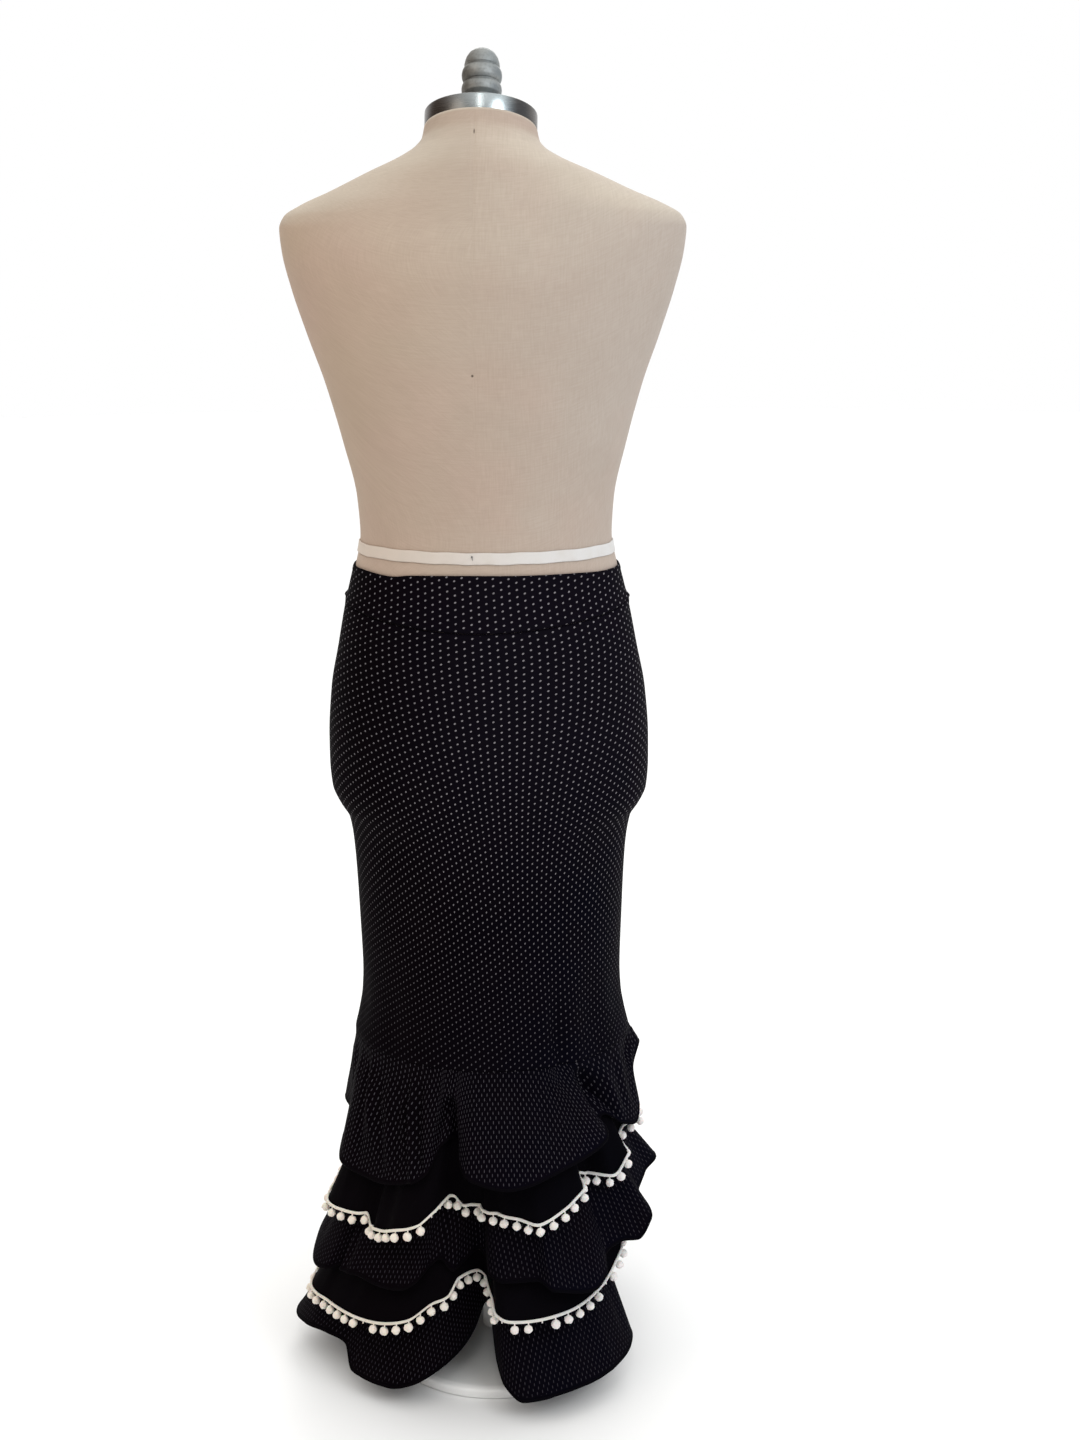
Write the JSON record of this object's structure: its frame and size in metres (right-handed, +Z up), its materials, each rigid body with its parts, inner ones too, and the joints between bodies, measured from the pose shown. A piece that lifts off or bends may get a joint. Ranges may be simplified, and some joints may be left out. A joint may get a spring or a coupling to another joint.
{
  "type": "flamenco skirt on a dress form",
  "caption": "Black pin-dot flamenco skirt with fitted body, layered flounces and white pompom trims, worn on a limbless linen dress form.",
  "frame": {"origin": "middle of the base's underside, on the surface that the form stands on", "axes": "+Z up, -Y towards the back of the skirt, which is the side that the picture shows, +X to the right in the picture"},
  "size_m": [0.465, 0.4035, 1.5216],
  "materials": {
    "dotted_knit": "black stretch knit with fine staggered pale pin dots",
    "plain_black": "plain black matte knit",
    "white_pompoms": "off-white woollen pompoms on a woven band",
    "linen": "natural linen cover drawn smooth",
    "white_twill": "white cotton twill tape",
    "steel": "polished steel plate",
    "cast_metal": "dull grey cast metal",
    "white_enamel": "white stove enamel"
  },
  "bodies": {
    "root": {"base": "white_enamel", "pole": "white_enamel", "form_torso": "linen", "waist_tape": "white_twill", "neck_plate": "steel", "knob": "cast_metal", "yoke_back": "dotted_knit", "yoke_front": "dotted_knit", "body_back": "dotted_knit", "body_front": "dotted_knit", "underskirt": "plain_black", "tier_1": "dotted_knit", "tier_2": "plain_black", "tier_3": "dotted_knit", "tier_4": "plain_black", "tier_5": "dotted_knit", "pompom_trim_upper": "white_pompoms", "pompom_trim_lower": "white_pompoms"}
  },
  "joints": []
}
